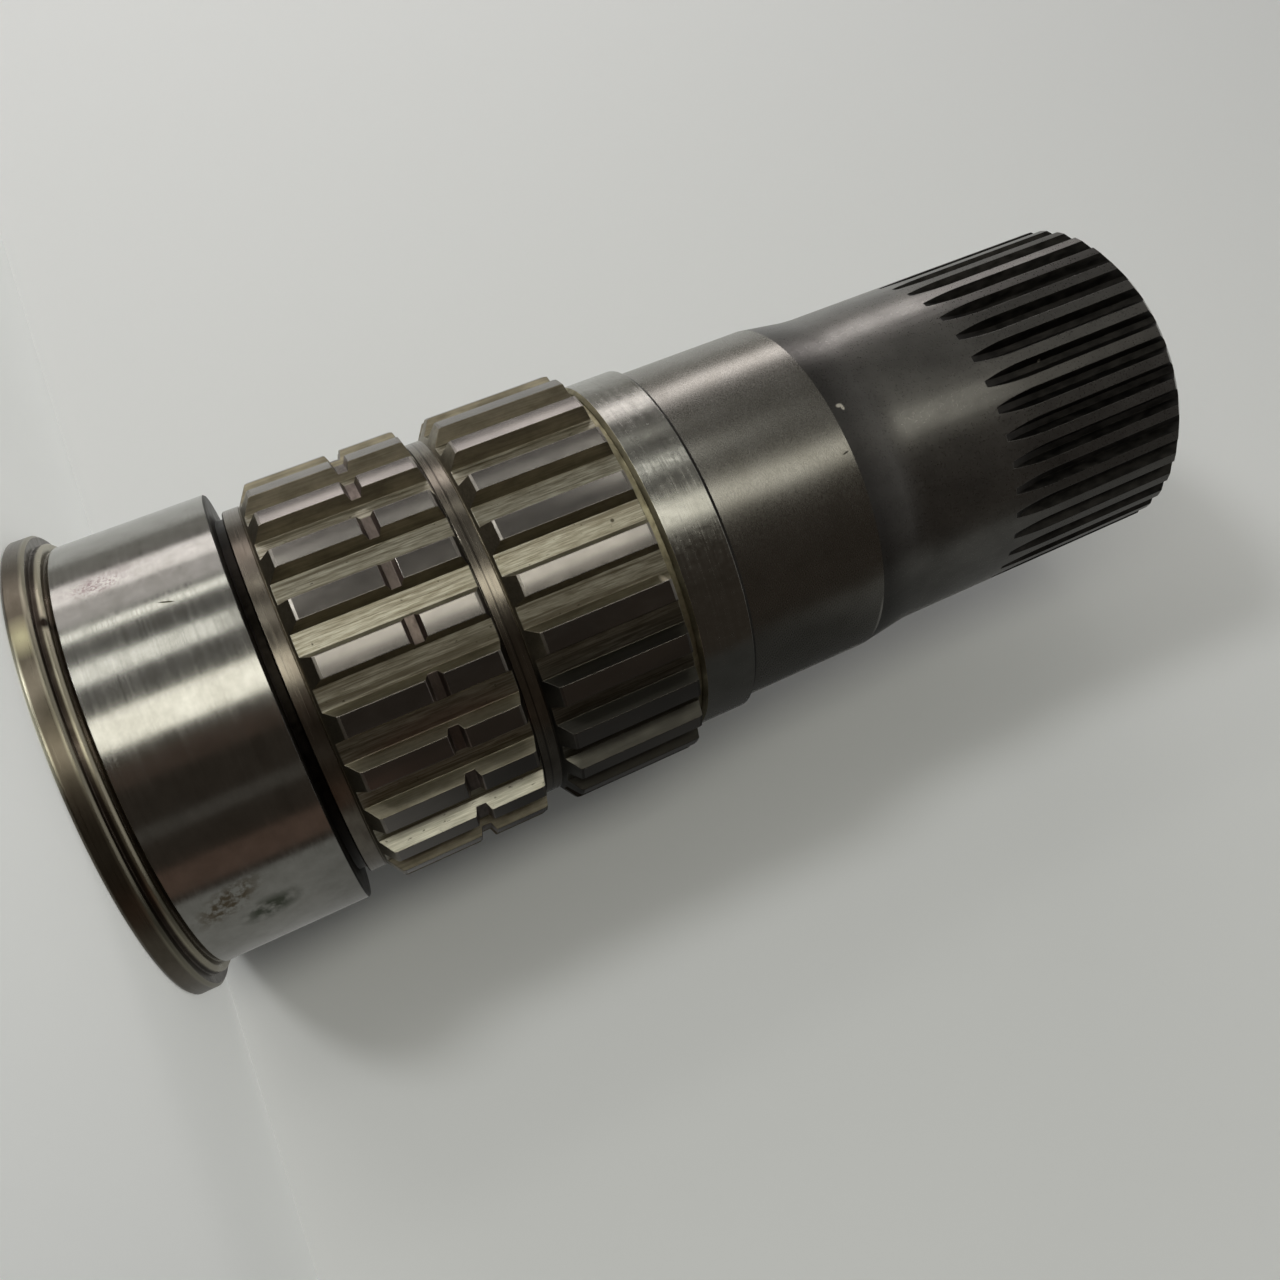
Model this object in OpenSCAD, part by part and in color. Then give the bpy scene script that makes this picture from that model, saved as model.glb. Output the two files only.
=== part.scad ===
// Splined shaft: one turned, ground and hobbed piece of steel.
// It stands on its collar, with the axis on +Z and the collar's face at z = 0.
// Going up: collar, bearing journal, a coarse spline in two bands with plain lands beside them,
// a short seat, a plain body, a tapered neck and a fine spline that the cutter leaves in round run-outs.

/* [Collar] */
// Height of the collar above the bearing journal
collar_h = 3.75; // [2.5:0.25:8]
// Thickness of the collar's rim
collar_len = 4.3; // [2.5:0.1:12]
// Edge break on the collar's rim
collar_edge = 0.5; // [0.2:0.1:1]
// Height of the raised bearing shoulder above the journal
shoulder_h = 1.4; // [0.8:0.1:2]
// Length of the raised bearing shoulder
shoulder_len = 1.8; // [0.8:0.1:4]
// Edge break on the bearing shoulder
shoulder_edge = 0.5; // [0.1:0.1:0.7]

/* [Bearing journal] */
// Diameter of the ground journal
journal_d = 90; // [80:0.5:110]
// Length from the shoulder to the journal's free end
journal_len = 30.8; // [15:0.1:60]
// Chamfer on the journal's free end
journal_chamfer = 0.3; // [0.2:0.1:2]
// Width of the grinding relief beside the shoulder
relief_w = 1; // [0.8:0.1:3]
// Depth of the grinding relief below the journal
relief_depth = 0.6; // [0.2:0.1:0.9]
// Width of the groove between the journal and the first land
groove_w = 1.8; // [1:0.1:5]
// Depth of that groove below the first land
groove_depth = 1.4; // [0.5:0.1:3]

/* [Coarse spline] */
// Diameter over the teeth
spline_d = 88.5; // [82:0.5:96]
// Number of teeth
spline_teeth = 24; // [16:1:30]
// Height of a tooth above the floor of its gaps
tooth_h = 3.2; // [2.6:0.1:4.5]
// Width of the gap between two teeth at its floor
gap_floor_w = 4.5; // [3:0.05:5.5]
// Angle of a tooth's flank to the middle of the gap
flank_angle = 24; // [5:0.5:30]
// Length of the first band of teeth
band_1_len = 35.3; // [28:0.1:60]
// Length of the second band of teeth
band_2_len = 31.2; // [12:0.1:60]
// Length of the bevel that leads into a band from the collar's side
lead_len = 3.2; // [1:0.1:5]
// Length of the bevel at the first band's far end
band_1_tail = 1.7; // [0.8:0.1:4]
// Length of the bevel at the second band's far end
band_2_tail = 1.7; // [0.8:0.1:4]
// Edge break where a tooth's tip meets the bevels at its ends
tip_edge = 0.55; // [0.1:0.05:0.7]
// Angle of that edge break to the tooth's tip
tip_edge_angle = 15; // [5:1:40]
// Length of the plain land before the first band
land_1_len = 3.6; // [2:0.1:12]
// Length of the plain land between the two bands
land_2_len = 4; // [2:0.1:12]
// How far the lands lie below the floors of the gaps
land_drop = 0.6; // [0.2:0.1:1.5]
// Edge break on the lands
land_edge = 0.25; // [0.1:0.05:0.5]

/* [Retaining ring groove] */
// Distance from the start of the first band to the groove
ring_from = 19.6; // [6:0.1:22]
// Width of the groove
ring_w = 3.15; // [1.5:0.05:4]
// Depth of the groove below the tooth tips
ring_depth = 1.7; // [0.8:0.1:2.4]
// Edge break on the groove
ring_edge = 0.2; // [0.1:0.05:0.4]
// How far each wall of the groove leans in, from its edge to the floor
ring_lean = 0.6; // [0.1:0.05:0.7]

/* [Seat and body] */
// Diameter of the short seat after the teeth
seat_d = 81; // [76:0.5:88]
// Length of the short seat, with its relief
seat_len = 13.9; // [6:0.1:30]
// Edge breaks on the short seat
seat_edge = 0.8; // [0.2:0.1:1.1]
// Width of the relief between the teeth and the seat
seat_relief_w = 1.3; // [0.8:0.1:3]
// Depth of that relief below the seat
seat_relief_depth = 1.2; // [0.9:0.1:2.5]
// Diameter of the plain body
body_d = 78; // [70:0.5:90]
// Length of the plain body
body_len = 31.5; // [10:0.5:80]

/* [Neck] */
// How far the neck lies below the body
neck_drop = 1.7; // [1:0.1:4]
// Angle of the taper from the body down to the neck
taper_angle = 8.5; // [6:0.5:20]
// Radius that blends the taper into the neck
blend_r = 40; // [5:1:60]
// Length from the end of the body to the tips of the cutter's run-outs
neck_len = 35.3; // [28:0.1:80]

/* [Fine spline] */
// Number of teeth
fine_teeth = 38; // [24:1:42]
// Depth of the gaps
fine_depth = 2; // [1.2:0.1:2.6]
// Width of a gap at its floor
fine_floor_w = 1.45; // [1:0.05:1.9]
// Angle of a flank to the middle of the gap
fine_flank_angle = 30; // [15:0.5:35]
// Length from the tips of the run-outs to the end of the shaft
fine_len = 46.5; // [30:0.5:90]
// How far the fine spline is turned against the coarse one
fine_turn = 4.34; // [0:0.01:9]
// Radius of the cutter that leaves the run-outs
cutter_r = 30; // [20:1:50]
// Chamfer on the end of the shaft
end_chamfer = 2.2; // [1:0.1:4]

/* [Centre holes] */
// Diameter of the drilled hole
centre_d = 6.3; // [3:0.1:8]
// Diameter of the 60 degree mouth
centre_mouth_d = 13.2; // [10:0.1:18]
// Depth of the drilled hole below the mouth
centre_depth = 8; // [4:0.5:16]

/* [Hidden] */
$fn = 96;
margin = 1;
blend_steps = 8;
steel = [0.56, 0.55, 0.53];

journal_r = journal_d / 2;
collar_r = journal_r + collar_h;
shoulder_r = journal_r + shoulder_h;
tip_r = spline_d / 2;
floor_r = tip_r - tooth_h;
land_r = floor_r - land_drop;
groove_r = land_r - groove_depth;
ring_r = tip_r - ring_depth;
tip_drop = tip_edge * tan(tip_edge_angle);
seat_r = seat_d / 2;
seat_relief_r = seat_r - seat_relief_depth;
body_r = body_d / 2;
neck_r = body_r - neck_drop;
fine_floor_r = neck_r - fine_depth;

// Heights of the shoulders along the axis
z_rim = collar_len;
z_shoulder = z_rim + shoulder_len;
z_journal = z_shoulder + journal_len;
z_land_1 = z_journal + groove_w;
z_band_1 = z_land_1 + land_1_len;
z_land_2 = z_band_1 + band_1_len;
z_band_2 = z_land_2 + land_2_len;
z_seat = z_band_2 + band_2_len;
z_body = z_seat + seat_len;
z_taper = z_body + body_len;
z_tips = z_taper + neck_len;
z_end = z_tips + fine_len;
z_ring = z_band_1 + ring_from;

// The taper's line meets the neck's line here, and the blend's arc touches both
z_meet = z_taper + neck_drop / tan(taper_angle);
blend_limit = 0.9 * neck_drop / sin(taper_angle) / tan(taper_angle / 2);
blend = min(blend_r, blend_limit);
blend_tangent = blend * tan(taper_angle / 2);

// The cutter lifts out along its own radius, from full depth to the surface
runout_angle = acos(1 - fine_depth / cutter_r);
exit_angle = acos(1 - (fine_depth + margin) / cutter_r);
z_full_depth = z_tips + cutter_r * sin(runout_angle);

// Half outline of a plain round length, with an edge break at each end
function round_length(r, z_from, z_to, edge_from, edge_to) = [
    [r - edge_from, z_from],
    [r, z_from + edge_from],
    [r, z_to - edge_to],
    [r - edge_to, z_to]
];

// Half outline of the retaining ring groove, with leaning walls and broken edges at the tooth tips
function ring_groove(z_from, z_to) = [
    [tip_r, z_from - ring_edge],
    [tip_r - ring_edge, z_from],
    [ring_r, z_from + ring_lean],
    [ring_r, z_to - ring_lean],
    [tip_r - ring_edge, z_to],
    [tip_r, z_to + ring_edge]
];

// Half outline where the bevel of a band's near end turns into the tooth tips
function band_start(z_from) = [
    [tip_r - tip_drop, z_from + lead_len - tip_edge],
    [tip_r, z_from + lead_len]
];

// Half outline where the tooth tips turn into the bevel of a band's far end
function band_end(z_to, tail) = [
    [tip_r, z_to - tail],
    [tip_r - tip_drop, z_to - tail + tip_edge]
];

// Points on the arc that blends the taper into the neck
function blend_arc() = [
    for (i = [0 : blend_steps])
        let (a = taper_angle * (1 - i / blend_steps))
        [neck_r + blend * (1 - cos(a)), z_meet + blend_tangent - blend * sin(a)]
];

// Half outline of the whole turned blank, from the collar's face to the far end
function blank_outline() = concat(
    [[0, 0]],
    round_length(collar_r, 0, z_rim, collar_edge, collar_edge),
    [[shoulder_r, z_rim]],
    [[shoulder_r, z_shoulder - shoulder_edge]],
    [[shoulder_r - shoulder_edge, z_shoulder]],
    [[journal_r - relief_depth, z_shoulder]],
    [[journal_r - relief_depth, z_shoulder + relief_w - relief_depth]],
    [[journal_r, z_shoulder + relief_w]],
    [[journal_r, z_journal - journal_chamfer]],
    [[journal_r - journal_chamfer, z_journal]],
    [[groove_r, z_journal]],
    [[groove_r, z_land_1]],
    round_length(land_r, z_land_1, z_band_1, land_edge, land_edge),
    band_start(z_band_1),
    ring_groove(z_ring, z_ring + ring_w),
    band_end(z_land_2, band_1_tail),
    round_length(land_r, z_land_2, z_band_2, land_edge, land_edge),
    band_start(z_band_2),
    band_end(z_seat, band_2_tail),
    [[seat_relief_r, z_seat]],
    [[seat_relief_r, z_seat + seat_relief_w]],
    round_length(seat_r, z_seat + seat_relief_w, z_body, seat_edge, seat_edge),
    [[body_r, z_body]],
    [[body_r, z_taper]],
    blend_arc(),
    [[neck_r, z_end - end_chamfer]],
    [[neck_r - end_chamfer, z_end]],
    [[0, z_end]]
);

// Section of a gap with its floor on x = floor_x and its mouth on x = mouth_x
module gap_section(floor_x, mouth_x, floor_w, angle) {
    mouth_w = floor_w + 2 * abs(mouth_x - floor_x) * tan(angle);
    polygon([
        [floor_x, -floor_w / 2],
        [mouth_x, -mouth_w / 2],
        [mouth_x, mouth_w / 2],
        [floor_x, floor_w / 2]
    ]);
}

// One gap of the coarse spline, along both bands and over the lower land between them
module coarse_gap() {
    translate([0, 0, z_band_1 - margin])
        linear_extrude(z_seat - z_band_1 + 2 * margin)
            gap_section(floor_r, tip_r + margin, gap_floor_w, flank_angle);
}

// One gap of the fine spline, with the cutter's round run-out at its lower end
module fine_gap() {
    translate([0, 0, z_full_depth])
        linear_extrude(z_end - z_full_depth + margin)
            gap_section(fine_floor_r, neck_r + margin, fine_floor_w, fine_flank_angle);
    translate([fine_floor_r + cutter_r, 0, z_full_depth])
        rotate([-90, 0, 180])
            rotate_extrude(angle = exit_angle)
                gap_section(cutter_r, cutter_r - fine_depth - margin, fine_floor_w, fine_flank_angle);
}

// A 60 degree lathe centre with its drilled hole, opening downward at z = 0
module centre_hole() {
    cone_h = (centre_mouth_d - centre_d) / 2 / tan(30);
    translate([0, 0, -margin])
        cylinder(d = centre_d, h = margin + cone_h + centre_depth);
    cylinder(d1 = centre_mouth_d, d2 = centre_d, h = cone_h);
}

module shaft() {
    color(steel)
        difference() {
            rotate_extrude()
                polygon(blank_outline());
            for (i = [0 : spline_teeth - 1])
                rotate([0, 0, (i + 0.5) * 360 / spline_teeth])
                    coarse_gap();
            for (i = [0 : fine_teeth - 1])
                rotate([0, 0, (i + 0.5) * 360 / fine_teeth + fine_turn])
                    fine_gap();
            centre_hole();
            translate([0, 0, z_end])
                mirror([0, 0, 1])
                    centre_hole();
        }
}

shaft();
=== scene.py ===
# %% [markdown]
# A splined shaft, shown in Blender
#
# The object is one turned, ground and hobbed piece of steel. Its solid is already right: the collar,
# the grooves, the teeth and the run-outs are all cut in the part's own source. So nothing is modelled
# again here. What Blender adds is the look of each machined surface, because a ground journal,
# a turned land, a hobbed gap and a blackened neck are the same steel and yet look nothing alike.
#
# The frame comes first. Its box gives the shaft's length.

# %% Load the frame
import math

import bmesh
import bpy
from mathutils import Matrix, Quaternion, Vector


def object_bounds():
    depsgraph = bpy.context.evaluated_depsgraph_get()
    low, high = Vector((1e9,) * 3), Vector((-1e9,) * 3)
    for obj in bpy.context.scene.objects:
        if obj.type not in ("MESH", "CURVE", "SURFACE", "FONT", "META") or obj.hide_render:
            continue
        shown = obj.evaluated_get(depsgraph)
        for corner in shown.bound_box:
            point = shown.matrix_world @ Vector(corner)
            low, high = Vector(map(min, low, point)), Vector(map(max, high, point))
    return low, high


MM = 0.001

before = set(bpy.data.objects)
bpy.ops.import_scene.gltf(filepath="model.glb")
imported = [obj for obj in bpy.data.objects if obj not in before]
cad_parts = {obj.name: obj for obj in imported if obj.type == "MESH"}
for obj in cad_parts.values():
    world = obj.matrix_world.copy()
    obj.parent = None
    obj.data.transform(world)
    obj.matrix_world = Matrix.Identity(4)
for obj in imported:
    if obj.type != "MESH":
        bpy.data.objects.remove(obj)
cad_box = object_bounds()
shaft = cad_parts["shaft"]
shaft_len = (cad_box[1] - cad_box[0]).z
print(f"shaft: {len(shaft.data.polygons)} faces, {shaft_len / MM:.1f} mm long")

# %% [markdown]
# The camera
#
# In the photograph the shaft lies on its side. Here it stands on its collar, so the camera is turned
# about its own line of sight until the standing shaft looks as if it lay. It stands close, with a wide
# lens, which is why the collar looks so much larger than the far end.

# %% Camera
camera_place = Vector((16.2, -269.5, 50.4)) * MM
camera_aim = Vector((8.0, 0.0, 118.1)) * MM
camera_roll = math.radians(67.49)

camera_data = bpy.data.cameras.new("camera")
camera_data.sensor_width = 36
camera_data.lens = 34.6
camera_data.shift_x = -0.0084
camera_data.shift_y = -0.0414
camera = bpy.data.objects.new("camera", camera_data)
camera.location = camera_place
camera.rotation_mode = "QUATERNION"
look = (camera_aim - camera_place).to_track_quat("-Z", "Y")
camera.rotation_quaternion = look @ Quaternion((0, 0, 1), camera_roll)
bpy.context.scene.collection.objects.link(camera)
bpy.context.scene.camera = camera
print(f"camera {(camera_aim - camera_place).length / MM:.0f} mm from its aim")

# %% [markdown]
# Directions round the shaft
#
# Steel has hardly any colour of its own: it shows what stands around it. So the lights and the sheet
# are placed by the angle at which the shaft sees them. Zero degrees looks from the axis towards the
# camera, and ninety degrees points to the top of the picture.

# %% Directions round the axis
toward_camera = Vector((camera_place.x, camera_place.y, 0)).normalized()
toward_top = Vector((toward_camera.y, -toward_camera.x, 0))


def around(degrees):
    """The direction at this angle round the axis, square to it."""
    a = math.radians(degrees)
    return toward_camera * math.cos(a) + toward_top * math.sin(a)


print("top of the picture points to", [round(v, 2) for v in toward_top])

# %% [markdown]
# The pale sheet and the floor
#
# The shaft rests against a pale sheet, which touches the collar and the second band of teeth, so the
# sheet leans a little. It is one plane with two sides: the front is pale, and the back lets the view
# through, so that the shaft can also be looked at from behind. The floor that it stands on is as pale,
# and is there for the camera and the shadow only: in the photograph nothing stands at the collar's end.
# The lamps reach the floor at a flat angle, so it gets a faint glow for the eye. The glow changes along
# the corner, so that floor and sheet meet in the same tone there and no line shows behind the shaft. It
# also eases off close to the corner, where the sheet itself lights the floor.

# %% Pale materials for the stage
PALE = (0.785, 0.80, 0.79, 1)
CORNER_GLOW, EASE_MM = 0.93, 15
GLOW_BLUE = 0.95


def empty_material(name):
    """A material with no nodes yet, and its lists of nodes and links."""
    material = bpy.data.materials.new(name)
    material.use_nodes = True
    material.node_tree.nodes.clear()
    return material, material.node_tree.nodes, material.node_tree.links


def sheet_material():
    """Matt and pale in front, and clear from behind."""
    material, nodes, links = empty_material("pale_sheet")
    matt = nodes.new("ShaderNodeBsdfDiffuse")
    matt.inputs["Color"].default_value = PALE
    clear = nodes.new("ShaderNodeBsdfTransparent")
    side = nodes.new("ShaderNodeNewGeometry")
    front = nodes.new("ShaderNodeMixShader")
    links.new(side.outputs["Backfacing"], front.inputs[0])
    links.new(matt.outputs[0], front.inputs[1])
    links.new(clear.outputs[0], front.inputs[2])
    out = nodes.new("ShaderNodeOutputMaterial")
    links.new(front.outputs[0], out.inputs["Surface"])
    return material


def share_along(nodes, links, way, first, last):
    """How far a place lies between two places along a direction, in millimetres: from 0 to 1."""
    place = nodes.new("ShaderNodeTexCoord")
    along = nodes.new("ShaderNodeVectorMath")
    along.operation = "DOT_PRODUCT"
    along.inputs[1].default_value = way / MM
    links.new(place.outputs["Object"], along.inputs[0])
    share = nodes.new("ShaderNodeMapRange")
    share.inputs["From Min"].default_value = first
    share.inputs["From Max"].default_value = last
    links.new(along.outputs["Value"], share.inputs["Value"])
    return share


def glow_along(nodes, links, way, glow):
    """A grey that changes along a direction: its strength is given at some places, in millimetres."""
    first, last = min(glow), max(glow)
    share = share_along(nodes, links, way, first, last)
    ramp = nodes.new("ShaderNodeValToRGB")
    stops = ramp.color_ramp.elements
    for mm in sorted(glow)[1:-1]:
        stops.new((mm - first) / (last - first))
    for stop, mm in zip(stops, sorted(glow)):
        stop.color = (glow[mm], glow[mm], glow[mm] * GLOW_BLUE, 1)
    links.new(share.outputs["Result"], ramp.inputs["Fac"])
    return ramp.outputs["Color"]


def floor_material(way, glow, off_corner, corner):
    """Matt and pale, with a glow for the eye that changes along the corner and eases off towards it."""
    material, nodes, links = empty_material("pale_floor")
    matt = nodes.new("ShaderNodeBsdfDiffuse")
    matt.inputs["Color"].default_value = PALE
    path = nodes.new("ShaderNodeLightPath")
    straight = nodes.new("ShaderNodeMath")
    straight.operation = "MAXIMUM"
    links.new(path.outputs["Is Camera Ray"], straight.inputs[0])
    links.new(path.outputs["Is Transmission Ray"], straight.inputs[1])
    ease = share_along(nodes, links, off_corner, corner, corner + EASE_MM)
    ease.inputs["To Min"].default_value = CORNER_GLOW
    strength = nodes.new("ShaderNodeMath")
    strength.operation = "MULTIPLY"
    links.new(straight.outputs[0], strength.inputs[0])
    links.new(ease.outputs["Result"], strength.inputs[1])
    light = nodes.new("ShaderNodeEmission")
    links.new(glow_along(nodes, links, way, glow), light.inputs["Color"])
    links.new(strength.outputs[0], light.inputs["Strength"])
    both = nodes.new("ShaderNodeAddShader")
    links.new(matt.outputs[0], both.inputs[0])
    links.new(light.outputs[0], both.inputs[1])
    out = nodes.new("ShaderNodeOutputMaterial")
    links.new(both.outputs[0], out.inputs["Surface"])
    return material


# %% Sheet and floor
sheet_angle = 32
sheet_lean = math.radians(2.36)
sheet_size = 3.0
sheet_edge = 0.185
rim_r = 48.75
floor_glow = {-110: 0.13, -95: 0.152, -60: 0.188, -40: 0.205, 60: 0.20, 85: 0.177, 110: 0.157, 185: 0.138}


def plane_facing(name, place, facing, width, length, material):
    """A plane about place whose front looks along facing, with its place and size in its mesh."""
    mesh = bpy.data.meshes.new(name)
    plane = bmesh.new()
    bmesh.ops.create_grid(plane, x_segments=1, y_segments=1, size=0.5)
    bmesh.ops.scale(plane, verts=plane.verts, vec=(width, length, 1))
    turn = facing.to_track_quat("Z", "Y")
    bmesh.ops.rotate(plane, verts=plane.verts, cent=(0, 0, 0), matrix=turn.to_matrix())
    bmesh.ops.translate(plane, verts=plane.verts, vec=place)
    plane.to_mesh(mesh)
    plane.free()
    obj = bpy.data.objects.new(name, mesh)
    obj.data.materials.append(material)
    bpy.context.scene.collection.objects.link(obj)
    return obj


sheet_facing = around(sheet_angle) * math.cos(sheet_lean) + Vector((0, 0, math.sin(sheet_lean)))
sheet_touch = -around(sheet_angle) * rim_r * MM
sheet_centre = sheet_touch + around(sheet_angle + 90) * (sheet_size / 2 - sheet_edge)
plane_facing("sheet", sheet_centre, sheet_facing, sheet_size, sheet_size, sheet_material())
floor = plane_facing("floor", Vector((0, 0, 0)), Vector((0, 0, 1)), sheet_size, sheet_size,
                     floor_material(around(sheet_angle + 90), floor_glow,
                                    around(sheet_angle), -rim_r))
floor.visible_glossy = False
floor.visible_diffuse = False
floor.visible_shadow = False
print(f"sheet leans {math.degrees(sheet_lean):.2f} degrees and touches the collar")

# %% [markdown]
# Long lights
#
# The bright lines on the journal are the lamps of the room, seen in the steel. They are made as long
# soft lights that run along the shaft, each at the angle where the photograph shows its reflection.
# A light at some angle shows in the steel at half that angle, as a mirror would have it. So the list
# below was read off the photograph: where the journal is bright, a strip stands at twice the angle.
# Most strips end part of the way along, because each step of the shaft sees a part of its own. The dim
# ones at the end of the list are the faint rosy, grey and brown bands on the journal's lower side.

# %% Strip lights along the shaft
strip_distance = 0.7


def strip_light(name, angle, spread, low, high, radiance, colour):
    """A light along the shaft from low to high, in metres, at an angle round it and over some degrees."""
    data = bpy.data.lights.new(name, "AREA")
    data.shape = "RECTANGLE"
    data.size = 2 * strip_distance * math.tan(math.radians(spread / 2))
    data.size_y = high - low
    data.energy = radiance * math.pi * data.size * data.size_y
    data.color = colour
    light = bpy.data.objects.new(name, data)
    outward = around(angle)
    light.location = outward * strip_distance + Vector((0, 0, (low + high) / 2))
    light.rotation_mode = "QUATERNION"
    light.rotation_quaternion = (-outward).to_track_quat("-Z", "Y")
    light.visible_camera = False
    bpy.context.scene.collection.objects.link(light)


WARM, PLAIN, ROSY, BROWN = (1.0, 0.98, 0.88), (1.0, 1.0, 0.94), (1.0, 0.95, 0.95), (1.0, 0.60, 0.46)
foot = -0.35
strips = {
    "front_near": (15.5, 17, foot, 0.295, 2.3, WARM),
    "front_far": (13.5, 14, 0.295, 0.60, 1.4, WARM),
    "thin_near": (45.5, 10, foot, 0.0, 1.9, PLAIN),
    "thin_far": (45.5, 9, 0.27, 0.345, 1.9, PLAIN),
    "edge_near": (67, 4.5, foot, 0.02, 2.7, PLAIN),
    "edge_far": (67, 5, 0.02, 0.33, 1.0, PLAIN),
    "wide": (79, 12, foot, 0.03, 0.75, ROSY),
    "top_near": (94, 15, foot, 0.345, 1.9, ROSY),
    "top_far": (100, 12, 0.345, 0.74, 3.0, ROSY),
    "back": (116, 20, foot, 0.62, 0.25, PLAIN),
    "low_rosy": (-5, 12, foot, 0.05, 0.045, BROWN),
    "low_grey": (-35, 7, foot, 0.05, 0.06, PLAIN),
    "low_brown": (-64, 16, foot, 0.05, 0.09, BROWN),
}
for name, values in strips.items():
    strip_light(name, *values)
print(f"{len(strips)} strips, {strip_distance} m from the axis")

# %% [markdown]
# The lamp that throws the shadow
#
# One round lamp stands high behind the camera, below the collar's end. It lights the sheet and throws
# the soft shadow to the lower right. In the steel it shows only on edges that are broken at a slant,
# as the thin bright lines on the teeth.

# %% Lamp for the sheet and its shadow
key_data = bpy.data.lights.new("key", "AREA")
key_data.shape = "DISK"
key_data.size = 0.55
key_data.energy = 15.5
key = bpy.data.objects.new("key", key_data)
key_angle, key_dip, key_distance = 51, math.radians(-29), 3.0
key_way = around(key_angle) * math.cos(key_dip) + Vector((0, 0, math.sin(key_dip)))
key.location = key_way * key_distance + Vector((0, 0, shaft_len / 2))
key.rotation_mode = "QUATERNION"
key.rotation_quaternion = (-key_way).to_track_quat("-Z", "Y")
key.visible_camera = False
bpy.context.scene.collection.objects.link(key)
print(f"lamp {key_data.size} m wide, {key_distance} m away")

# %% [markdown]
# A dark card
#
# In the photograph the shaft is dark along its lower side, most of all in the far half: it sees its own
# shadow and a dark part of the room there. A photographer would hold a black card there, and so does
# this stage. The card glows faintly at both ends, where the photograph's steel is grey. Only the steel
# sees it: it throws no shadow, and the camera looks through it.

# %% Dark card beside the shaft
card_from, card_to = -300, 420
card_low, card_high = 30 * MM, sheet_edge
card_depth = 0.9
card_glow = {20: 0.27, 75: 0.05, 170: 0.05, 250: 0.20}


def card_material(glow):
    """Dark, with a faint glow that changes along the shaft."""
    material, nodes, links = empty_material("dark_card")
    light = nodes.new("ShaderNodeEmission")
    links.new(glow_along(nodes, links, Vector((0, 0, 1)), glow), light.inputs["Color"])
    out = nodes.new("ShaderNodeOutputMaterial")
    links.new(light.outputs[0], out.inputs["Surface"])
    return material


card_place = sheet_touch * card_depth - around(sheet_angle + 90) * (card_low + card_high) / 2
card_place = card_place + Vector((0, 0, (card_from + card_to) / 2 * MM))
card = plane_facing("card", card_place, sheet_facing, card_high - card_low, (card_to - card_from) * MM,
                    card_material(card_glow))
card.visible_camera = False
card.visible_diffuse = False
card.visible_shadow = False
card.visible_transmission = False
print(f"card {card_to - card_from} mm long, {(card_high - card_low) / MM:.0f} mm wide")

# %% [markdown]
# The room
#
# A broad soft light from above reaches the floor and the shaft's end face. The room itself has three
# looks, chosen by the kind of ray that meets it: pale for the camera, an even grey for matt surfaces,
# and dark with a grey ceiling for the steel, since the photograph's steel shows a dark room.

# %% Soft light from above
overhead_data = bpy.data.lights.new("overhead", "SUN")
overhead_data.energy = 0.7
overhead_data.angle = math.radians(90)
overhead = bpy.data.objects.new("overhead", overhead_data)
bpy.context.scene.collection.objects.link(overhead)

# %% World
DARK_SIDE = (0.044, 0.036, 0.029, 1)
CEILING = (0.15, 0.145, 0.135, 1)
ROOM_FILL = (0.175, 0.175, 0.17, 1)
PALE_ROOM = (0.45, 0.45, 0.435, 1)
ceiling_angle = 55
ceiling_from, ceiling_to = 0.55, 0.72

world = bpy.data.worlds.new("room")
bpy.context.scene.world = world
world.use_nodes = True
room_nodes, room_links = world.node_tree.nodes, world.node_tree.links
room_nodes.clear()
room_way = room_nodes.new("ShaderNodeTexCoord")
room_up = room_nodes.new("ShaderNodeVectorMath")
room_up.operation = "DOT_PRODUCT"
room_up.inputs[1].default_value = around(ceiling_angle)
room_links.new(room_way.outputs["Generated"], room_up.inputs[0])
room_share = room_nodes.new("ShaderNodeMapRange")
room_share.inputs["From Min"].default_value = ceiling_from
room_share.inputs["From Max"].default_value = ceiling_to
room_links.new(room_up.outputs["Value"], room_share.inputs["Value"])
room_colour = room_nodes.new("ShaderNodeMix")
room_colour.data_type = "RGBA"
room_colour.inputs["A"].default_value = DARK_SIDE
room_colour.inputs["B"].default_value = CEILING
room_links.new(room_share.outputs["Result"], room_colour.inputs["Factor"])
room_seen = room_nodes.new("ShaderNodeBackground")
room_links.new(room_colour.outputs["Result"], room_seen.inputs["Color"])
room_fill = room_nodes.new("ShaderNodeBackground")
room_fill.inputs["Color"].default_value = ROOM_FILL
room_pale = room_nodes.new("ShaderNodeBackground")
room_pale.inputs["Color"].default_value = PALE_ROOM
room_path = room_nodes.new("ShaderNodeLightPath")
room_matt = room_nodes.new("ShaderNodeMixShader")
room_links.new(room_path.outputs["Is Diffuse Ray"], room_matt.inputs[0])
room_links.new(room_seen.outputs[0], room_matt.inputs[1])
room_links.new(room_fill.outputs[0], room_matt.inputs[2])
room_mix = room_nodes.new("ShaderNodeMixShader")
room_links.new(room_path.outputs["Is Camera Ray"], room_mix.inputs[0])
room_links.new(room_matt.outputs[0], room_mix.inputs[1])
room_links.new(room_pale.outputs[0], room_mix.inputs[2])
room_out = room_nodes.new("ShaderNodeOutputWorld")
room_links.new(room_mix.outputs[0], room_out.inputs["Surface"])
bpy.context.scene.view_settings.view_transform = "Standard"

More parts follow.
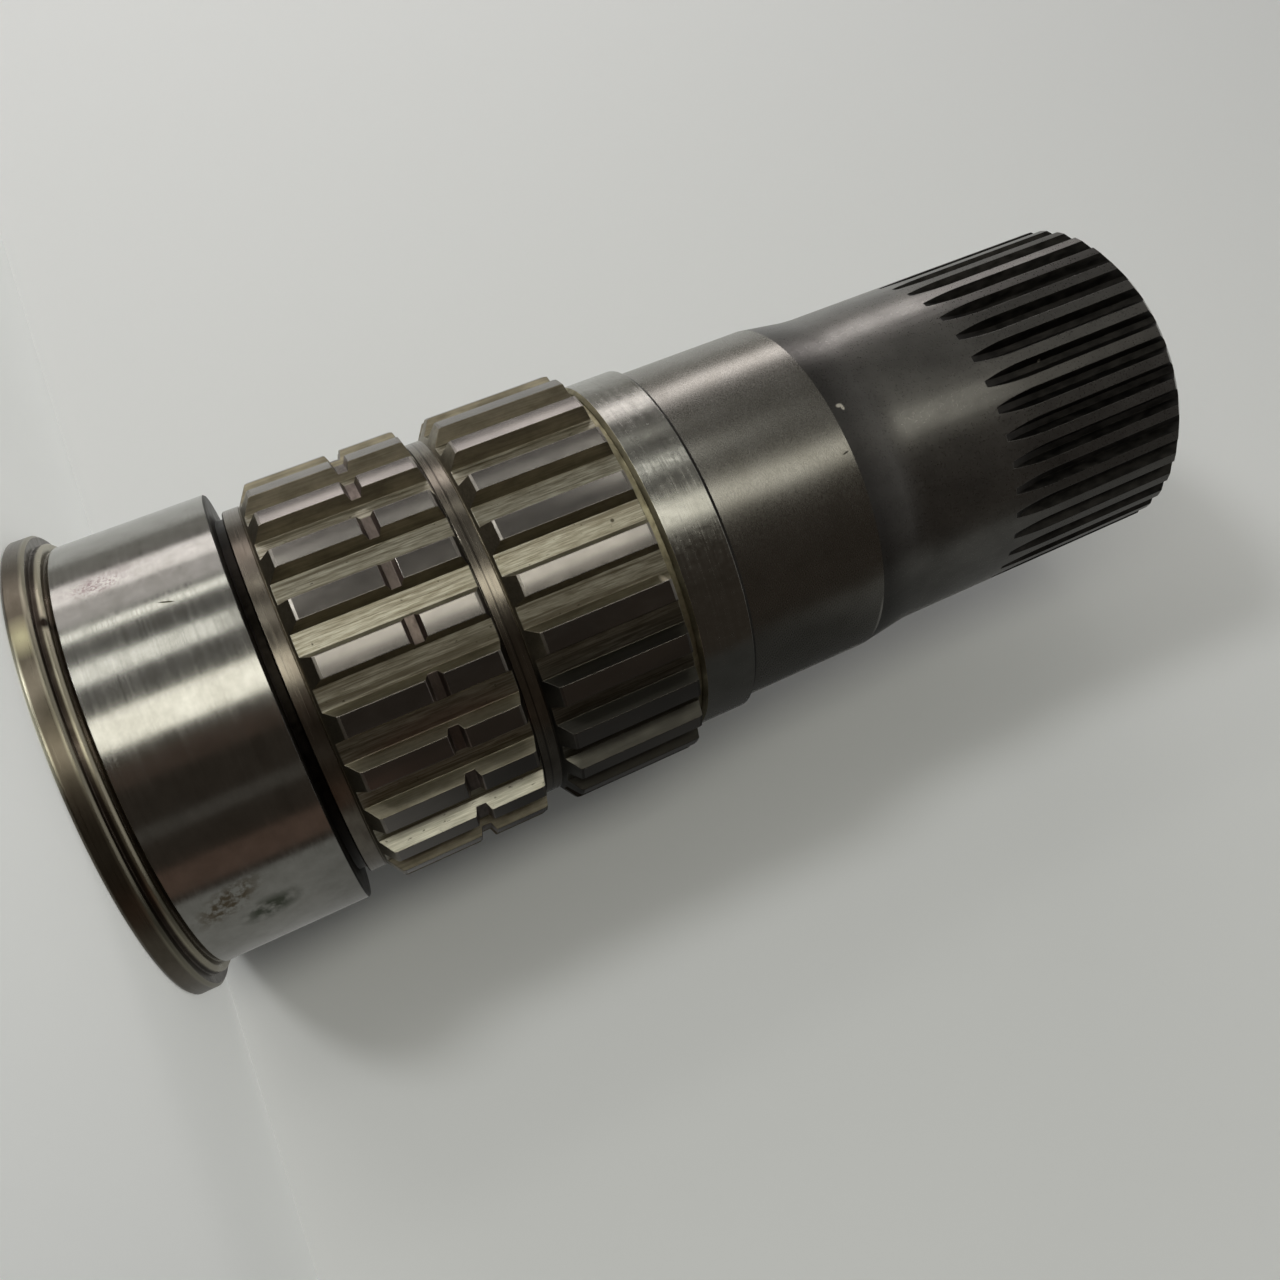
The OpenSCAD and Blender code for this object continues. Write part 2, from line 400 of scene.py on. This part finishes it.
# %% [markdown]
# Building a steel finish
#
# Every surface of the shaft is the same bare steel, so every finish starts from one metallic shader.
# What differs is how the last tool left it: which way its fine lines run, how deep they are, and how
# dark the oil and the heat have made it. The helper below keeps that in one place. It reads Object
# coordinates, so a pattern stays on the steel wherever the shaft goes. A noise that is squeezed along
# one axis becomes fine lines: squeezed along Z they run round the shaft, and squeezed across it they
# run along the teeth.
#
# No real edge is quite sharp. A Bevel node rounds the shading, not the shape, by a fraction of
# a millimetre, so that every edge catches the light as a worn one does.

# %% A helper for steel finishes
MARK_DEPTH = 5


class SteelFinish:
    """A steel material in the making: its shader, and short ways to add nodes and join them."""

    def __init__(self, name, edge_break=0.25):
        self.material = bpy.data.materials.new(name)
        self.material.use_nodes = True
        self.nodes = self.material.node_tree.nodes
        self.links = self.material.node_tree.links
        self.shader = self.nodes["Principled BSDF"]
        self.shader.inputs["Metallic"].default_value = 1
        self.place = self.nodes.new("ShaderNodeTexCoord").outputs["Object"]
        edges = self.nodes.new("ShaderNodeBevel")
        edges.samples = 6
        edges.inputs["Radius"].default_value = edge_break * MM
        self.normal = edges.outputs["Normal"]
        self.links.new(self.normal, self.shader.inputs["Normal"])

    def join(self, value, socket):
        """Links an output to a socket, or sets the socket when the value is a plain number or colour."""
        if isinstance(value, bpy.types.NodeSocket):
            self.links.new(value, socket)
        else:
            socket.default_value = value

    def noise(self, scale, squeeze=(1, 1, 1), detail=3.0, rough=0.5):
        """Noise between 0 and 1; scale counts per metre, and squeeze makes it finer along an axis."""
        mapping = self.nodes.new("ShaderNodeMapping")
        mapping.inputs["Scale"].default_value = squeeze
        self.links.new(self.place, mapping.inputs["Vector"])
        noise = self.nodes.new("ShaderNodeTexNoise")
        noise.inputs["Scale"].default_value = scale
        noise.inputs["Detail"].default_value = detail
        noise.inputs["Roughness"].default_value = rough
        self.links.new(mapping.outputs["Vector"], noise.inputs["Vector"])
        return noise.outputs["Fac"]

    def height(self):
        """Height above the collar's face, in millimetres."""
        parts = self.nodes.new("ShaderNodeSeparateXYZ")
        self.links.new(self.place, parts.inputs["Vector"])
        return self.math("DIVIDE", parts.outputs["Z"], MM)

    def toward(self, angle):
        """How far a place lies from the axis towards an angle, in millimetres."""
        along = self.nodes.new("ShaderNodeVectorMath")
        along.operation = "DOT_PRODUCT"
        along.inputs[1].default_value = around(angle) / MM
        self.links.new(self.place, along.inputs[0])
        return along.outputs["Value"]

    def fit(self, value, low, high, first=0.0, last=1.0):
        """Stretches low..high of a value to first..last, and holds it there beyond."""
        fit = self.nodes.new("ShaderNodeMapRange")
        fit.inputs["From Min"].default_value = low
        fit.inputs["From Max"].default_value = high
        fit.inputs["To Min"].default_value = first
        fit.inputs["To Max"].default_value = last
        self.links.new(value, fit.inputs["Value"])
        return fit.outputs["Result"]

    def math(self, operation, a, b):
        """One step of arithmetic on two values."""
        step = self.nodes.new("ShaderNodeMath")
        step.operation = operation
        self.join(a, step.inputs[0])
        self.join(b, step.inputs[1])
        return step.outputs["Value"]

    def mix(self, mask, first, second):
        """The first colour where the mask is 0, the second where it is 1."""
        mix = self.nodes.new("ShaderNodeMix")
        mix.data_type = "RGBA"
        self.join(mask, mix.inputs["Factor"])
        self.join(first if isinstance(first, bpy.types.NodeSocket) else (*first, 1), mix.inputs["A"])
        self.join(second if isinstance(second, bpy.types.NodeSocket) else (*second, 1), mix.inputs["B"])
        return mix.outputs["Result"]

    def mark(self, angle, height, radius, half_width, half_length, lean=0, soft=0.5):
        """A round or long mask on the surface, in millimetres; lean tips a long one to the picture's top."""
        outward = around(angle)
        mapping = self.nodes.new("ShaderNodeMapping")
        mapping.vector_type = "TEXTURE"
        mapping.inputs["Location"].default_value = outward * radius * MM + Vector((0, 0, height * MM))
        mapping.inputs["Rotation"].default_value = (math.radians(lean), 0, math.atan2(outward.y, outward.x))
        mapping.inputs["Scale"].default_value = Vector((MARK_DEPTH, half_width, half_length)) * MM
        self.links.new(self.place, mapping.inputs["Vector"])
        away = self.nodes.new("ShaderNodeVectorMath")
        away.operation = "LENGTH"
        self.links.new(mapping.outputs["Vector"], away.inputs[0])
        return self.fit(away.outputs["Value"], 1, 1 - soft)

    def set(self, socket, value):
        """Gives one of the shader's sockets a value or a node's output."""
        self.join(value, self.shader.inputs[socket])

    def bump(self, height, depth):
        """Lifts the surface by depth millimetres where height is 1."""
        bump = self.nodes.new("ShaderNodeBump")
        bump.inputs["Strength"].default_value = 1
        bump.inputs["Distance"].default_value = depth * MM
        self.links.new(height, bump.inputs["Height"])
        self.links.new(self.normal, bump.inputs["Normal"])
        self.links.new(bump.outputs["Normal"], self.shader.inputs["Normal"])


ROUND_LINES = (1, 1, 60)
LENGTH_LINES = (30, 30, 1)

# %% [markdown]
# The ground bearing journal
#
# Grinding leaves the brightest surface of the shaft: the lamps show in it as sharp bands. Its lines are
# so fine that they only fray the edges of those bands, where some rings are a little duller than others.
# On it lie a smear with some old oil, a thin film, a few freckles of first rust and one short scratch,
# at the places where the photograph shows them.

# %% Ground journal
journal_r = 45
ground = SteelFinish("ground_journal")
grinding = ground.noise(40, ROUND_LINES, 4)
dull_rings = ground.noise(14, (1, 1, 30), 3, 0.6)
grit = ground.noise(2400, (1, 1, 1.5), 2, 0.6)
film = ground.noise(260, (1, 1, 1), 5, 0.6)
bare = ground.mix(ground.fit(film, 0.35, 0.7), (0.365, 0.36, 0.335), (0.295, 0.29, 0.265))
ground.set("Roughness", ground.fit(ground.math("ADD", grinding, dull_rings), 0.7, 1.35, 0.12, 0.20))
ground.bump(ground.math("ADD", grinding, grit), 0.0015)

# %% What lies on the journal
smear_marks = ground.fit(ground.noise(620, (1, 1, 1), 4, 0.65), 0.42, 0.58)
smear = ground.math("MULTIPLY", ground.mark(-42.5, 15, journal_r, 4.2, 9, lean=27, soft=0.6), smear_marks)
oil_marks = ground.fit(ground.noise(330, (1, 1, 1), 5, 0.6), 0.38, 0.56)
oil = ground.math("MULTIPLY", ground.mark(-51, 21, journal_r, 4.2, 7, lean=12, soft=0.6), oil_marks)
stain_marks = ground.fit(ground.noise(330, (1, 1, 1), 5, 0.65), 0.42, 0.60)
stain = ground.math("MULTIPLY", ground.mark(45.5, 16, journal_r, 4, 10, soft=0.7), stain_marks)
freckle_marks = ground.fit(ground.noise(1900, (1, 1, 1), 3, 0.6), 0.50, 0.62, 0, 0.8)
freckles = ground.math("MULTIPLY", ground.mark(44.5, 15, journal_r, 3.5, 5.5, soft=0.7), freckle_marks)
scratch = ground.mark(31.6, 25.6, journal_r, 0.22, 1.7, lean=-20)
worn = ground.mix(smear, bare, (0.13, 0.105, 0.07))
worn = ground.mix(oil, worn, (0.075, 0.083, 0.06))
worn = ground.mix(ground.math("MULTIPLY", stain, 0.6), worn, (0.20, 0.175, 0.17))
worn = ground.mix(freckles, worn, (0.17, 0.125, 0.125))
ground.set("Base Color", ground.mix(scratch, worn, (0.05, 0.045, 0.03)))
print("journal ground, with its smear, film, freckles and scratch")

# %% [markdown]
# Turned collar and lands
#
# The collar's rim and the narrow lands beside the teeth are left as the lathe turned them: lines that
# run round the shaft, uneven in depth, with a warm brown cast from oil that stayed in them. The rim is
# duller than the lands, because it was never finished. The raised shoulder beside it is browner still,
# but cloths have rubbed its outer bead and the rim's edge lighter, and that lighter colour is also their
# painted highlight line. A yellow patch on the rim and a bright line along its foot, over part of its
# round, are painted highlights. A darker patch on the first land is painted shade over a lamp's band.
# The second land has one dark ring where the tool stopped.

# %% Turned collar
collar = SteelFinish("turned_collar", 0.5)
collar_lines = collar.noise(55, ROUND_LINES, 5, 0.6)
collar_cast = collar.noise(90, (1, 1, 2), 4, 0.6)
rim_edge_z, lip_z = 3.2, 1.0
# The rim's top edge is lighter: rubbed by cloths, and painted light as its highlight line too.
rim_edge = collar.fit(collar.height(), rim_edge_z, rim_edge_z + 0.5)
# A yellow patch on the rim at 33 degrees is a painted highlight.
yellow = collar.mark(33, 2.2, rim_r, 5, 4, soft=0.9)
rim_steel = collar.mix(collar.fit(collar_cast, 0.35, 0.7), (0.15, 0.13, 0.10), (0.09, 0.077, 0.056))
rim_steel = collar.mix(yellow, rim_steel, (0.42, 0.39, 0.25))
rim_steel = collar.mix(rim_edge, rim_steel, (0.27, 0.25, 0.19))
# A bright line along the rim's foot, over part of its round, is a painted highlight.
rim_foot_highlight = collar.math("MULTIPLY", collar.fit(collar.height(), lip_z, lip_z / 2),
                         collar.mark(16, 0.5, rim_r, 18, 5, soft=0.6))
collar.set("Base Color", collar.mix(rim_foot_highlight, rim_steel, (0.70, 0.67, 0.52)))
collar.set("Roughness", collar.fit(collar_lines, 0.3, 0.7, 0.26, 0.36))
collar.bump(collar_lines, 0.004)

# %% Brown shoulder and its relief
shoulder = SteelFinish("brown_shoulder", 0.5)
shoulder_stain = shoulder.noise(240, (1, 1, 1), 4, 0.6)
bead_from, bead_to, bead_r = 5.0, 6.15, 46.4
# The bead is lighter: rubbed by cloths, and painted light as its highlight line too.
rubbed = shoulder.math("MULTIPLY", shoulder.fit(shoulder.height(), bead_from, bead_from + 0.4),
                       shoulder.fit(shoulder.height(), bead_to, bead_to - 0.05))
blob = shoulder.mark(37, 5.6, bead_r, 1.8, 1.2, soft=0.6)
oily = shoulder.mix(shoulder.fit(shoulder_stain, 0.35, 0.7), (0.095, 0.078, 0.062), (0.055, 0.043, 0.033))
bead = shoulder.mix(rubbed, oily, (0.38, 0.35, 0.265))
shoulder.set("Base Color", shoulder.mix(blob, bead, (0.02, 0.014, 0.01)))
shoulder.set("Roughness", shoulder.fit(shoulder_stain, 0.3, 0.7, 0.24, 0.36))

# %% Turned lands
land_r, tool_ring_z = 40.45, 79.3
land = SteelFinish("turned_lands")
land_lines = land.noise(55, ROUND_LINES, 5, 0.6)
land_cast = land.noise(150, (1, 1, 2), 4, 0.6)
land_oil_and_shade = land.mix(land.fit(land_cast, 0.35, 0.7), (0.25, 0.225, 0.185), (0.15, 0.13, 0.105))
off_ring = land.math("ABSOLUTE", land.math("SUBTRACT", land.height(), tool_ring_z), 0)
tool_ring = land.fit(off_ring, 0.22, 0.08, 0, 0.7)
# A darker patch at 50 degrees on the first land is painted shade that dims a lamp's band there.
land_shade_patch = land.mark(50, 40.5, land_r, 13, 5, soft=0.6)
land_oil_and_shade = land.mix(land.math("MULTIPLY", land_shade_patch, 0.7), land_oil_and_shade, (0.10, 0.083, 0.065))
land.set("Base Color", land.mix(tool_ring, land_oil_and_shade, (0.03, 0.025, 0.02)))
land.set("Roughness", land.fit(land_lines, 0.3, 0.7, 0.17, 0.30))
land.bump(land_lines, 0.005)
print("collar, shoulder and lands turned, with rubbed edges and one tool ring")

# %% [markdown]
# Tooth tips, hobbed gaps and flanks
#
# The tips were turned and lightly ground before the teeth were cut, so they are smooth, with a faint
# patchy cast. Their ends were broken with a file, which leaves those edges duller. The floors of the gaps
# show the cutter's travel: fine lines along the shaft and a dull yellow tone, brown in one gap. The flanks
# are cut by the same tool. A hub pushes on one flank of each tooth, so that side is rubbed clean, and old
# oil stays on the other side. On one tooth of the first band the clean flank is painted much lighter, with
# rub strokes and pits, as a painted highlight, and a burr at the second band's far end is painted as a
# bright glint. The second band's lower side is dark all over: painted shade lies there.

# %% Painted shade on the second band's lower side
LOWER_SIDE_SHADE = (0.040, 0.039, 0.036)
between_bands = 79.5


def shade_below(finish, steel, share):
    """The steel's colour, with a share of painted shade on the second band's lower side."""
    lower = finish.math("MULTIPLY", finish.fit(finish.toward(-100), 2, 8),
                        finish.fit(finish.toward(-20), 0, 10))
    second_band = finish.fit(finish.height(), between_bands, between_bands + 1, 0, share)
    return finish.mix(finish.math("MULTIPLY", lower, second_band), steel, LOWER_SIDE_SHADE)


# %% Tooth tips
tips = SteelFinish("tooth_tips")
cast = tips.noise(70, (1, 1, 0.6), 3)
rub = tips.noise(420, (1, 1, 0.5), 4, 0.6)
polished = tips.mix(tips.fit(cast, 0.35, 0.68), (0.285, 0.267, 0.246), (0.205, 0.194, 0.183))
tips.set("Base Color", polished)
tips.set("Roughness", tips.fit(rub, 0.3, 0.7, 0.17, 0.25))
tips.bump(rub, 0.0015)

# %% Broken edges of the tips
breaks = SteelFinish("tooth_end_breaks")
break_rub = breaks.noise(420, (1, 1, 1), 4, 0.6)
filed = breaks.mix(breaks.fit(break_rub, 0.35, 0.7), (0.29, 0.27, 0.24), (0.20, 0.19, 0.17))
breaks.set("Base Color", shade_below(breaks, filed, 0.7))
breaks.set("Roughness", breaks.fit(break_rub, 0.3, 0.7, 0.34, 0.42))

# %% Hobbed gap floors
root_r = 41.05
hobbed = SteelFinish("hobbed_gaps")
travel = hobbed.noise(110, (26, 26, 1.8), 6, 0.65)
furrows = hobbed.noise(30, (40, 40, 0.6), 3, 0.55)
dull = hobbed.noise(120, (1, 1, 0.4), 3)
pits = hobbed.fit(hobbed.noise(1400, (1, 1, 0.6), 2), 0.70, 0.78)
olive = hobbed.mix(hobbed.fit(travel, 0.38, 0.62), (0.22, 0.20, 0.145), (0.49, 0.47, 0.385))
olive = hobbed.mix(hobbed.fit(furrows, 0.50, 0.62, 0, 0.75), olive, (0.12, 0.10, 0.065))
olive = hobbed.mix(hobbed.fit(dull, 0.4, 0.75, 0, 0.5), olive, (0.22, 0.20, 0.145))
brown = hobbed.mark(-23, 61, root_r, 5, 20)
olive = hobbed.mix(hobbed.math("MULTIPLY", brown, 0.7), olive, (0.20, 0.135, 0.105))
dot = hobbed.mark(11, 106, root_r, 0.5, 0.5)
olive = hobbed.mix(hobbed.math("MAXIMUM", pits, dot), olive, (0.08, 0.07, 0.05))
hobbed.set("Base Color", shade_below(hobbed, olive, 0.5))
hobbed.set("Roughness", hobbed.fit(travel, 0.3, 0.7, 0.33, 0.46))
hobbed.bump(hobbed.math("ADD", travel, furrows), 0.010)

# %% Tooth flanks and leading bevels
def flank_finish(name, clean, stained):
    """A flank as the cutter left it, dull, and its colour, between a clean and a stained tone."""
    finish = SteelFinish(name)
    stain = finish.noise(300, (1, 1, 0.5), 4, 0.6)
    strokes = finish.noise(80, LENGTH_LINES, 4, 0.6)
    tone = finish.math("ADD", finish.math("MULTIPLY", stain, 0.6), finish.math("MULTIPLY", strokes, 0.4))
    finish.set("Roughness", finish.fit(stain, 0.3, 0.7, 0.38, 0.48))
    return finish, shade_below(finish, finish.mix(finish.fit(tone, 0.38, 0.62), clean, stained), 0.9)


flank_r = 42.6
driven, driven_steel = flank_finish("driven_flanks", (0.36, 0.335, 0.255), (0.20, 0.18, 0.13))
# One flank on the first band is painted much lighter, with rub strokes and pits: a painted highlight.
highlit_flank = driven.mark(-51, 60, flank_r, 6, 26, soft=0.4)
rub_strokes = driven.noise(90, (40, 40, 2), 4, 0.65)
rub_pits = driven.fit(driven.noise(1300, (1, 1, 0.6), 2), 0.66, 0.74, 0, 0.8)
rub_and_highlight_steel = driven.mix(driven.fit(rub_strokes, 0.36, 0.64), (0.60, 0.585, 0.50), (0.37, 0.36, 0.29))
rub_and_highlight_steel = driven.mix(rub_pits, rub_and_highlight_steel, (0.10, 0.09, 0.07))
rub_and_highlight_steel = driven.mix(highlit_flank, driven_steel, rub_and_highlight_steel)
# A burr at the second band's far end, painted as a bright glint.
burr_glint = driven.mark(-9.1, 110.4, flank_r, 1.5, 0.9)
driven.set("Base Color", driven.mix(burr_glint, rub_and_highlight_steel, (0.95, 0.88, 0.76)))
trailing, trailing_steel = flank_finish("trailing_flanks", (0.30, 0.27, 0.205), (0.17, 0.15, 0.11))
trailing.set("Base Color", trailing_steel)
print("tips ground, gaps hobbed, flanks clean on one side and oily on the other")

# %% [markdown]
# Grooves
#
# The narrow grooves hold old oil and never see a cloth. They are almost black, with a dull gloss. The
# same black is painted shade on the journal's chamfered end and on the seat's end wall. The retaining
# ring's groove is cleaner, because a ring sat in it: its floor is a dull pinkish brown. The relief before
# the seat, and the slanted edge beside it, are a dull olive.

# %% Black grooves
groove = SteelFinish("black_grooves")
grime = groove.noise(500, (1, 1, 1), 4, 0.6)
# Old oil in the grooves; on the journal's chamfered end and the seat's end wall this black is painted shade.
oil_and_shade_black = groove.mix(groove.fit(grime, 0.35, 0.7), (0.012, 0.010, 0.008), (0.032, 0.027, 0.022))
groove.set("Base Color", oil_and_shade_black)
groove.set("Roughness", groove.fit(grime, 0.3, 0.7, 0.35, 0.5))

# %% Retaining ring groove
ring = SteelFinish("ring_groove")
ring_wear = ring.noise(420, (1, 1, 2), 4, 0.6)
ring.set("Base Color", ring.mix(ring.fit(ring_wear, 0.35, 0.7), (0.20, 0.165, 0.145), (0.11, 0.09, 0.078)))
ring.set("Roughness", ring.fit(ring_wear, 0.3, 0.7, 0.30, 0.44))

# %% Relief before the seat
relief = SteelFinish("olive_relief")
relief_grime = relief.noise(450, (1, 1, 2), 4, 0.6)
oil_olive = relief.mix(relief.fit(relief_grime, 0.35, 0.7), (0.42, 0.385, 0.26), (0.25, 0.225, 0.15))
relief.set("Base Color", oil_olive)
relief.set("Roughness", relief.fit(relief_grime, 0.3, 0.7, 0.42, 0.58))
print("grooves black, the ring's groove brown, the relief olive")

# %% [markdown]
# Seat and body
#
# The short seat is finely turned and rubbed bright, with a few scuffs. The body after it is a satin grey,
# with a fine grain of short scratches that breaks the reflections up into a soft sheen. A painted
# highlight lies on its far edge on the lower side, and a small nick marks that edge in front.

# %% Seat
seat = SteelFinish("bright_seat")
seat_lines = seat.noise(50, ROUND_LINES, 4)
seat_film = seat.noise(180, (1, 1, 1), 4)
scuff = seat.noise(900, (1, 1, 0.6), 4, 0.65)
seat.set("Base Color", seat.mix(seat.fit(seat_film, 0.35, 0.7), (0.38, 0.375, 0.345), (0.32, 0.315, 0.285)))
seat.set("Roughness", seat.fit(seat.math("ADD", seat_lines, scuff), 0.7, 1.3, 0.14, 0.30))
seat.bump(seat_lines, 0.0008)

# %% Body
body_r = 39
body = SteelFinish("satin_body")
grain = body.noise(1500, (1, 1, 2.2), 3, 0.6)
cloud = body.noise(110, (1, 1, 1), 4, 0.6)
nick = body.mark(4.7, 156.9, body_r, 0.2, 0.9, lean=12, soft=0.4)
satin = body.mix(body.fit(cloud, 0.35, 0.7), (0.30, 0.29, 0.265), (0.24, 0.23, 0.205))
# A painted highlight on the body's far edge, on the lower side.
lower_edge_highlight = body.mark(-58, 158, body_r, 9, 0.5)
satin = body.mix(lower_edge_highlight, satin, (0.75, 0.73, 0.68))
body.set("Base Color", body.mix(nick, satin, (0.02, 0.018, 0.014)))
body.set("Roughness", body.fit(grain, 0.3, 0.7, 0.23, 0.31))
body.bump(grain, 0.0012)
print("seat bright, body satin")

# %% [markdown]
# Blackened neck and fine spline
#
# The far end was hardened, and the heat left it dark. Where hands and cloths reach, on the neck and on
# the tips of the fine teeth, the black is rubbed to grey. In the gaps it is still black, and close behind
# the body a darker band is painted shade. The last edge is rubbed bare and painted light as its highlight
# line too, and a few bright flecks are bare steel.

# %% Blackened steel
end_z = shaft_len / MM
taper_r, neck_r = 38.6, 37.3
shade_from, shade_to = 160, 171
fine_from, fine_to = 192, 206
blackened = SteelFinish("blackened_neck")
smoke = blackened.noise(120, (1, 1, 0.8), 4, 0.6)
speck = blackened.noise(2200, (1, 1, 1), 2)
neck_tone = blackened.mix(blackened.fit(smoke, 0.35, 0.7), (0.235, 0.23, 0.215), (0.17, 0.165, 0.155))
# Painted shade: a darker band close behind the body.
shade_band = blackened.fit(blackened.height(), shade_from, shade_to, 0.65, 0)
neck_tone = blackened.mix(shade_band, neck_tone, (0.03, 0.028, 0.026))
fine_tips = blackened.fit(blackened.height(), fine_from, fine_to, 0, 0.36)
neck_tone = blackened.mix(fine_tips, neck_tone, (0.06, 0.057, 0.052))
# The last edge: rubbed bare, and painted light as its highlight line.
end_rub_and_highlight = blackened.fit(blackened.height(), end_z - 0.9, end_z - 0.3)
neck_tone = blackened.mix(end_rub_and_highlight, neck_tone, (0.50, 0.49, 0.46))
chip = blackened.math("MAXIMUM", blackened.mark(19.3, 160.5, taper_r, 0.55, 0.9, soft=0.4),
                      blackened.mark(18.4, 161.0, taper_r, 0.8, 0.45, soft=0.4))
fleck = blackened.math("MAXIMUM", chip, blackened.mark(-12.6, 220.3, neck_r, 0.3, 0.5))
blackened.set("Base Color", blackened.mix(fleck, neck_tone, (0.90, 0.86, 0.74)))
blackened.set("Roughness", blackened.fit(speck, 0.3, 0.7, 0.26, 0.36))
blackened.bump(speck, 0.003)

# %% Black gaps of the fine spline
gap_r = 36.4
gap = SteelFinish("black_gaps")
soot = gap.noise(700, (1, 1, 0.4), 3)
gap_fleck = gap.mark(10, 208.6, gap_r, 0.3, 0.5)
burnt = gap.mix(gap.fit(soot, 0.35, 0.7), (0.022, 0.021, 0.019), (0.05, 0.047, 0.042))
gap.set("Base Color", gap.mix(gap_fleck, burnt, (0.60, 0.57, 0.50)))
gap.set("Roughness", gap.fit(soot, 0.3, 0.7, 0.40, 0.55))
print("neck, fine tips and their gaps blackened")

# %% [markdown]
# Turned end faces
#
# The photograph doesn't show the ends. A lathe leaves fine rings there, so the noise follows the
# distance from the axis.

# %% End faces
faced = SteelFinish("faced_ends")
flat = faced.nodes.new("ShaderNodeVectorMath")
flat.operation = "MULTIPLY"
flat.inputs[1].default_value = (1, 1, 0)
faced.links.new(faced.place, flat.inputs[0])
from_axis = faced.nodes.new("ShaderNodeVectorMath")
from_axis.operation = "LENGTH"
faced.links.new(flat.outputs["Vector"], from_axis.inputs[0])
rings = faced.nodes.new("ShaderNodeTexNoise")
rings.noise_dimensions = "1D"
rings.inputs["Scale"].default_value = 2600
rings.inputs["Detail"].default_value = 2
faced.links.new(from_axis.outputs["Value"], rings.inputs["W"])
faced_cloud = faced.noise(80, (1, 1, 1), 4)
faced_steel = faced.mix(faced.fit(faced_cloud, 0.35, 0.7), (0.36, 0.345, 0.32), (0.28, 0.265, 0.24))
faced.set("Base Color", faced_steel)
faced.set("Roughness", faced.fit(rings.outputs["Fac"], 0.3, 0.7, 0.26, 0.40))
faced.bump(rings.outputs["Fac"], 0.004)

# %% [markdown]
# Which finish goes where
#
# The solid's faces already end where one machining step ends and the next begins. So each face is
# given its finish by three things that can be measured on it: how high it is, how far from the axis,
# and which way it looks. Only the material of a face is set; its shape is left alone.
#
# How far a face looks some way is a number from 0 to 1, and 1 is straight that way. The words in the
# second line of values below stand for such numbers, so that the tests read like a description.

# %% Heights and radii of the steps in millimetres, and how far a face looks some way
hair, edge, edge_break = 0.01, 0.05, 0.3
hardly, partly, half, mostly, nearly, wholly = 0.1, 0.3, 0.5, 0.9, 0.95, 0.985
rim_top, relief_top, journal_top = 4.3, 7.1, 36.9
land_1_from, band_1_from, band_1_to = 38.7, 42.3, 77.6
ring_from, ring_to = 61.7, 65.3
band_2_from, band_2_to = 81.6, 112.8
seat_from, seat_to, body_to, runout_from = 114.1, 126.7, 158.2, 193.5
seat_bevel, end_bevel = 1.5, 2.2
tip_r, ring_r, centre_r, rubbed_depth = 44.25, 42, 30, 0.15
print(f"teeth from {band_1_from} to {band_2_to} mm, fine teeth from {runout_from} mm")


def collar_finish(z, up):
    """The finish of a face on the collar, its shoulder and the relief beside them."""
    return collar if z < rim_top + edge and up < mostly else shoulder


def tooth_finish(z, r, out, up, ahead):
    """The finish of a face on the toothed bands; up and ahead are how far it looks along and round."""
    if r > tip_r - edge_break and out > mostly:
        return tips if abs(up) < hardly else breaks
    if ring_from < z < ring_to and (abs(up) > partly or out > mostly and r > ring_r):
        return ring
    if out > nearly:
        return hobbed
    if up > partly:
        return groove
    return driven if ahead > partly else trailing


def finish_of(centre, normal):
    """The finish of a face, from its height, its distance from the axis and the way it looks."""
    z = centre.z / MM
    r = math.hypot(centre.x, centre.y) / MM
    outward = Vector((centre.x, centre.y, 0)).normalized()
    out = normal.dot(outward)
    ahead = normal.dot(Vector((outward.y, -outward.x, 0)))
    if z < hair or z > end_z - hair or r < centre_r:
        return faced
    if z < relief_top - edge:
        return collar_finish(z, normal.z)
    if z < journal_top - edge_break:
        return ground
    # The journal's chamfered end is black as painted shade; the groove after it holds oil.
    if z < land_1_from - edge:
        return groove
    if z < band_1_from or band_1_to < z < band_2_from:
        return land
    if z < band_2_to - edge:
        return tooth_finish(z, r, out, normal.z, ahead)
    if z < seat_from - edge or z < seat_from + seat_bevel and normal.z < -partly:
        return relief
    # The seat's end wall, facing along the shaft, is black as painted shade.
    if z < seat_to - edge:
        return groove if normal.z > half else seat
    if z < body_to:
        return body
    on_tip = r > neck_r - rubbed_depth and out > wholly
    return blackened if z < runout_from or on_tip or z > end_z - end_bevel else gap


# %% Give each face its finish
finishes = [ground, collar, shoulder, land, tips, breaks, hobbed, driven, trailing, groove, ring, relief,
            seat, body, blackened, gap, faced]
shaft.data.materials.clear()
for finish in finishes:
    shaft.data.materials.append(finish.material)
for face in shaft.data.polygons:
    face.material_index = finishes.index(finish_of(face.center, face.normal))
for number, finish in enumerate(finishes):
    count = sum(face.material_index == number for face in shaft.data.polygons)
    print(f"{finish.material.name}: {count} faces")
